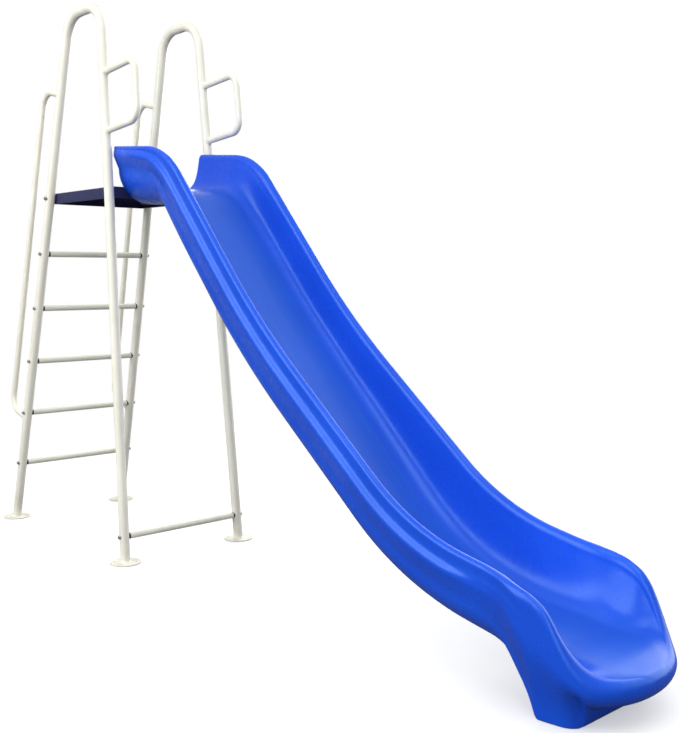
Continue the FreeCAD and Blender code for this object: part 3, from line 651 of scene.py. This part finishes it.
def weld_ring(front, side, z):
    """A rippled bead where a rail of RAIL_RADIUS meets a leg square on."""
    along = (leg_point(front, side, 1.0) - leg_point(front, side, 0.0)).normalized()
    off = Vector((1, 0, 0)) - along * along.x
    off.normalize()
    if not front:
        off = -off
    across = along.cross(off)
    origin = leg_point(front, side, z)
    turns = 120
    around = 10
    vertices = []
    faces = []
    for i in range(turns):
        angle = 2 * math.pi * i / turns
        reach = RAIL_RADIUS + WELD_LIFT
        sideways = reach * math.sin(angle)
        outward = math.sqrt(LEG_RADIUS ** 2 - min(sideways, LEG_RADIUS) ** 2) + WELD_LIFT
        radial = along * math.cos(angle) + across * math.sin(angle)
        centre = origin + radial * reach + off * outward
        ripple = 1 + WELD_RIPPLE * math.sin(angle * WELD_RIPPLES)
        for j in range(around):
            swing = 2 * math.pi * j / around
            bead = radial * math.cos(swing) + off * math.sin(swing)
            vertices.append(centre + bead * WELD_RADIUS * ripple)
            faces.append([
                i * around + j,
                i * around + (j + 1) % around,
                (i + 1) % turns * around + (j + 1) % around,
                (i + 1) % turns * around + j,
            ])
    return vertices, faces


def build_welds():
    """One bead at each end of every handrail and grab loop."""
    vertices = []
    faces = []
    for front, heights in ((False, HANDRAIL_HEIGHTS), (True, LOOP_HEIGHTS)):
        for side in (-1, 1):
            for z in heights:
                ring, ring_faces = weld_ring(front, side, z)
                start = len(vertices)
                vertices += ring
                faces += [[start + i for i in face] for face in ring_faces]
    return mesh_object("rail_welds", vertices, faces)


# ---------------------------------------------------------------- materials

class Nodes:
    """A short way to add and join the nodes of one shader tree."""

    def __init__(self, tree):
        self.tree = tree

    def add(self, kind, **settings):
        node = self.tree.nodes.new(kind)
        for key, value in settings.items():
            setattr(node, key, value)
        return node

    def join(self, source, target):
        self.tree.links.new(source, target)

    def noise(self, coordinates, scale, detail=4.0, roughness=0.5):
        node = self.add("ShaderNodeTexNoise")
        node.inputs["Scale"].default_value = scale
        node.inputs["Detail"].default_value = detail
        node.inputs["Roughness"].default_value = roughness
        self.join(coordinates, node.inputs["Vector"])
        return node.outputs["Fac"]

    def ramp(self, source, low, high, dark, light):
        node = self.add("ShaderNodeMapRange")
        node.inputs["From Min"].default_value = low
        node.inputs["From Max"].default_value = high
        node.inputs["To Min"].default_value = dark
        node.inputs["To Max"].default_value = light
        self.join(source, node.inputs["Value"])
        return node.outputs["Result"]

    def mix(self, share, first, second):
        node = self.add("ShaderNodeMix", data_type="RGBA")
        for socket, value in ((node.inputs[6], first), (node.inputs[7], second)):
            if isinstance(value, tuple):
                socket.default_value = (*value, 1.0)
            else:
                self.join(value, socket)
        self.join(share, node.inputs[0])
        return node.outputs[2]

    def math(self, operation, first, second):
        node = self.add("ShaderNodeMath", operation=operation)
        for socket, value in ((node.inputs[0], first), (node.inputs[1], second)):
            if isinstance(value, (int, float)):
                socket.default_value = value
            else:
                self.join(value, socket)
        return node.outputs[0]

    def stretched(self, coordinates, x, y, z):
        node = self.add("ShaderNodeMapping")
        node.inputs["Scale"].default_value = (x, y, z)
        self.join(coordinates, node.inputs["Vector"])
        return node.outputs["Vector"]

    def bump(self, height, strength, distance, below=None):
        node = self.add("ShaderNodeBump")
        node.inputs["Strength"].default_value = strength
        node.inputs["Distance"].default_value = distance
        self.join(height, node.inputs["Height"])
        if below is not None:
            self.join(below, node.inputs["Normal"])
        return node.outputs["Normal"]


class Surface(Nodes):
    """The shader tree of a new material, with its principled surface."""

    def __init__(self, name):
        self.material = bpy.data.materials.new(name)
        self.material.use_nodes = True
        super().__init__(self.material.node_tree)
        self.surface = self.tree.nodes["Principled BSDF"]

    def finish(self, colour, roughness, normal):
        self.join(colour, self.surface.inputs["Base Color"])
        self.join(roughness, self.surface.inputs["Roughness"])
        self.join(normal, self.surface.inputs["Normal"])
        return self.material


def object_position(n):
    return n.add("ShaderNodeTexCoord").outputs["Object"]


def blue_plastic():
    """Glossy rotomoulded polyethylene: slightly uneven colour, fine orange peel, and a paler bed
    where it faces up, partly streaky wear and partly a painted sheen.
    """
    n = Surface("blue_moulded_plastic")
    where = object_position(n)
    along = n.add("ShaderNodeUVMap", uv_map="along_piece").outputs["UV"]
    cloud = n.ramp(n.noise(where, 2.2, 3.0), 0.35, 0.65, 0.0, 1.0)
    colour = n.mix(cloud, (0.008, 0.070, 0.590), (0.011, 0.084, 0.660))
    streak = n.noise(n.stretched(along, 60.0, 1.2, 1.0), 1.0, 5.0, 0.6)
    streak = n.ramp(streak, 0.50, 0.75, 0.0, 1.0)
    across = n.add("ShaderNodeSeparateXYZ")
    n.join(along, across.inputs[0])
    off_middle = n.math("ABSOLUTE", across.outputs[0], 0.0)
    bed = n.ramp(off_middle, 0.205, 0.120, 0.0, 1.0)
    facing = n.add("ShaderNodeNewGeometry")
    upward = n.add("ShaderNodeSeparateXYZ")
    n.join(facing.outputs["Normal"], upward.inputs[0])
    # lighter only where the surface faces up: this part of the bed colour is a painted sheen, not
    # only wear
    top = n.ramp(upward.outputs[2], 0.15, 0.45, 0.0, 1.0)
    bed = n.math("MULTIPLY", bed, top)
    # worn: streaky wear on the bed, which also lays on a painted sheen; its paler, greener colour
    # stands in for the bed's glossy reflection
    worn = n.math("MULTIPLY", bed, n.math("ADD", n.math("MULTIPLY", streak, 0.30), 0.30))
    colour = n.mix(worn, colour, (0.040, 0.150, 0.560))
    rough = n.ramp(n.noise(where, 14.0, 2.0), 0.10, 0.90, 0.20, 0.35)
    rough = n.math("ADD", rough, n.math("MULTIPLY", worn, 0.22))
    peel = n.bump(n.noise(where, 260.0, 2.0), 0.10, 0.0006)
    ripple = n.bump(n.noise(where, 9.0, 2.0), 0.07, 0.004, peel)
    n.surface.inputs["Specular IOR Level"].default_value = 0.38
    n.surface.inputs["Specular Tint"].default_value = (0.56, 0.90, 1.0, 1.0)
    return n.finish(colour, rough, ripple)


def cream_paint():
    """Cream powder coat: fine texture, faint darkening in patches towards the bottom and small
    scuffs.
    """
    n = Surface("cream_powder_coat")
    where = object_position(n)
    cloud = n.ramp(n.noise(where, 6.0, 4.0), 0.35, 0.65, 0.0, 1.0)
    colour = n.mix(cloud, (0.765, 0.750, 0.635), (0.815, 0.803, 0.700))
    scuff = n.ramp(n.noise(n.stretched(where, 40.0, 40.0, 9.0), 1.0, 6.0, 0.7), 0.68, 0.78, 0.0, 0.45)
    colour = n.mix(scuff, colour, (0.47, 0.43, 0.36))
    height = n.add("ShaderNodeSeparateXYZ")
    n.join(where, height.inputs[0])
    # darker in patches towards the bottom, within 0.3 m of the floor
    low = n.ramp(height.outputs[2], 0.30, 0.0, 0.0, 0.35)
    low_darkening = n.math("MULTIPLY", low, n.ramp(n.noise(where, 28.0, 5.0), 0.35, 0.65, 0.2, 1.0))
    colour = n.mix(low_darkening, colour, (0.44, 0.39, 0.31))
    rough = n.ramp(n.noise(where, 30.0, 3.0), 0.30, 0.70, 0.34, 0.46)
    grain = n.bump(n.noise(where, 700.0, 2.0), 0.12, 0.0004)
    return n.finish(colour, rough, grain)


def navy_paint():
    """Dark navy powder coat with a fine sandy texture and worn patches where feet go."""
    n = Surface("navy_powder_coat")
    where = object_position(n)
    cloud = n.ramp(n.noise(where, 7.0, 4.0), 0.35, 0.65, 0.0, 1.0)
    colour = n.mix(cloud, (0.010, 0.012, 0.060), (0.016, 0.020, 0.090))
    worn = n.ramp(n.noise(where, 18.0, 6.0, 0.65), 0.62, 0.74, 0.0, 0.35)
    colour = n.mix(worn, colour, (0.05, 0.055, 0.12))
    rough = n.ramp(n.noise(where, 25.0, 4.0), 0.30, 0.70, 0.40, 0.58)
    sand = n.bump(n.noise(where, 500.0, 3.0), 0.30, 0.0006)
    return n.finish(colour, rough, sand)


def black_plastic():
    n = Surface("black_moulded_plastic")
    where = object_position(n)
    cloud = n.ramp(n.noise(where, 60.0, 3.0), 0.35, 0.65, 0.0, 1.0)
    colour = n.mix(cloud, (0.012, 0.012, 0.013), (0.030, 0.030, 0.032))
    rough = n.ramp(n.noise(where, 90.0, 3.0), 0.30, 0.70, 0.45, 0.62)
    grain = n.bump(n.noise(where, 1400.0, 2.0), 0.25, 0.0003)
    return n.finish(colour, rough, grain)


def plated_metal(name, dull, bright, stain):
    """Turned and plated metal with faint turning marks and a little staining."""
    n = Surface(name)
    where = object_position(n)
    cloud = n.ramp(n.noise(where, 120.0, 4.0), 0.35, 0.65, 0.0, 1.0)
    colour = n.mix(cloud, dull, bright)
    spots = n.ramp(n.noise(where, 300.0, 5.0), 0.62, 0.72, 0.0, 0.6)
    colour = n.mix(spots, colour, stain)
    rough = n.ramp(n.noise(where, 200.0, 4.0), 0.30, 0.70, 0.28, 0.48)
    marks = n.bump(n.noise(n.stretched(where, 1.0, 14.0, 1.0), 400.0, 2.0), 0.15, 0.0002)
    n.surface.inputs["Metallic"].default_value = 1.0
    return n.finish(colour, rough, marks)


def floor_material():
    """A pale matt floor that runs out into white, and that throws little light back up."""
    n = Surface("studio_floor")
    where = object_position(n)
    cloud = n.ramp(n.noise(where, 1.5, 2.0), 0.4, 0.6, 0.0, 1.0)
    pale = n.mix(cloud, (0.93, 0.93, 0.93), (0.96, 0.96, 0.96))
    path = n.add("ShaderNodeLightPath")
    colour = n.mix(path.outputs["Is Camera Ray"], (0.11, 0.11, 0.12), pale)
    rough = n.ramp(n.noise(where, 3.0, 2.0), 0.3, 0.7, 0.80, 0.90)
    material = n.finish(colour, rough, n.bump(n.noise(where, 40.0, 2.0), 0.02, 0.001))
    n.surface.inputs["Specular IOR Level"].default_value = 0.0
    length = n.add("ShaderNodeVectorMath", operation="LENGTH")
    n.join(where, length.inputs[0])
    far = n.ramp(length.outputs["Value"], 1.5, 5.5, 0.35, 1.0)
    white = n.math("MULTIPLY", far, path.outputs["Is Camera Ray"])
    glow = n.add("ShaderNodeEmission")
    mix = n.add("ShaderNodeMixShader")
    n.join(white, mix.inputs[0])
    n.join(n.surface.outputs[0], mix.inputs[1])
    n.join(glow.outputs[0], mix.inputs[2])
    n.join(mix.outputs[0], n.tree.nodes["Material Output"].inputs["Surface"])
    return material


def paint(obj, material):
    obj.data.materials.clear()
    obj.data.materials.append(material)


def paint_everything(chute, welds):
    """Give every node the finish that the record names for it, then the two modelled pieces."""
    cream = cream_paint()
    navy = navy_paint()
    blue = blue_plastic()
    black = black_plastic()
    zinc = plated_metal("zinc_plate", (0.42, 0.42, 0.43), (0.62, 0.62, 0.63), (0.30, 0.27, 0.22))
    brass = plated_metal("insert_brass", (0.55, 0.38, 0.15), (0.75, 0.55, 0.25), (0.30, 0.20, 0.10))
    finishes = {
        "cream_paint": cream, "navy_paint": navy, "blue_plastic": blue,
        "black_plastic": black, "zinc_steel": zinc, "insert_brass": brass,
    }
    for part in frame["record"]["subparts"]:
        paint(nodes[part["node"]], finishes[part["material_slot"]])
    paint(chute, blue)
    paint(welds, cream)


# ---------------------------------------------------------------- stage

def build_floor():
    size = 30.0
    corners = [(-size, -size, 0), (size, -size, 0), (size, size, 0), (-size, size, 0)]
    floor = mesh_object("studio_floor", corners, [[0, 1, 2, 3]], smooth=False)
    floor.location.z = -0.0005
    paint(floor, floor_material())


def area_light(name, position, target, size, power):
    data = bpy.data.lights.new(name, "AREA")
    data.shape = "DISK"
    data.size = size
    data.energy = power
    light = bpy.data.objects.new(name, data)
    light.location = position
    aim = Vector(target) - Vector(position)
    light.rotation_euler = aim.to_track_quat("-Z", "Y").to_euler()
    bpy.context.scene.collection.objects.link(light)


def build_world():
    """White to the camera; as a light, bright overhead and behind, dim near the horizon."""
    world = bpy.data.worlds.new("studio")
    world.use_nodes = True
    n = Nodes(world.node_tree)
    seen = n.tree.nodes["Background"]
    seen.inputs["Color"].default_value = (1.0, 1.0, 1.0, 1.0)
    seen.inputs["Strength"].default_value = 1.0
    split = n.add("ShaderNodeSeparateXYZ")
    n.join(n.add("ShaderNodeTexCoord").outputs["Generated"], split.inputs[0])
    overhead = n.ramp(split.outputs[2], -0.05, 0.85, 0.22, 0.70)
    backdrop = n.ramp(split.outputs[1], 0.55, 0.85, 0.0, 2.5)
    backdrop.node.interpolation_type = "SMOOTHSTEP"
    lit = n.add("ShaderNodeBackground")
    lit.inputs["Color"].default_value = (0.97, 0.98, 1.0, 1.0)
    n.join(n.math("ADD", overhead, backdrop), lit.inputs["Strength"])
    mix = n.add("ShaderNodeMixShader")
    n.join(n.add("ShaderNodeLightPath").outputs["Is Camera Ray"], mix.inputs[0])
    n.join(lit.outputs[0], mix.inputs[1])
    n.join(seen.outputs[0], mix.inputs[2])
    n.join(mix.outputs[0], n.tree.nodes["World Output"].inputs["Surface"])
    bpy.context.scene.world = world


def build_lights():
    """Large soft lights: overhead, from the right, from ahead, from behind and at the entry."""
    middle = (0.3, 0.0, 1.2)
    area_light("top", (3.0, -1.1, 5.2), (1.2, 0.0, 0.7), 3.6, 88.0)
    area_light("key", (-1.5, -5.8, 3.8), middle, 6.0, 370.0)
    area_light("front", (5.5, -4.5, 2.6), middle, 5.0, 160.0)
    area_light("back", (-4.0, 4.4, 3.4), (0.5, 0.0, 1.0), 4.0, 130.0)
    area_light("entry", (-2.4, 1.9, 3.0), (0.0, 0.0, 1.86), 1.6, 14.0)


def build_camera():
    """A viewpoint at eye height, ahead of the slide and to its right, looking slightly down."""
    azimuth = math.radians(48.25)
    pitch = math.radians(5.34)
    data = bpy.data.cameras.new("view")
    data.sensor_width = 36.0
    data.lens = 48.71
    camera = bpy.data.objects.new("view", data)
    camera.location = (FRONT_FOOT_X + 4.293, -2.753, 1.427)
    camera.rotation_euler = (math.pi / 2 - pitch, 0.0, azimuth)
    bpy.context.scene.collection.objects.link(camera)
    bpy.context.scene.camera = camera


# ---------------------------------------------------------------- the whole model

chute = build_chute()
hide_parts("chute")
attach(chute, "root")
welds = build_welds()
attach(welds, "root")
paint_everything(chute, welds)
build_floor()
build_world()
build_lights()
build_camera()
bpy.context.scene.view_settings.view_transform = "Standard"
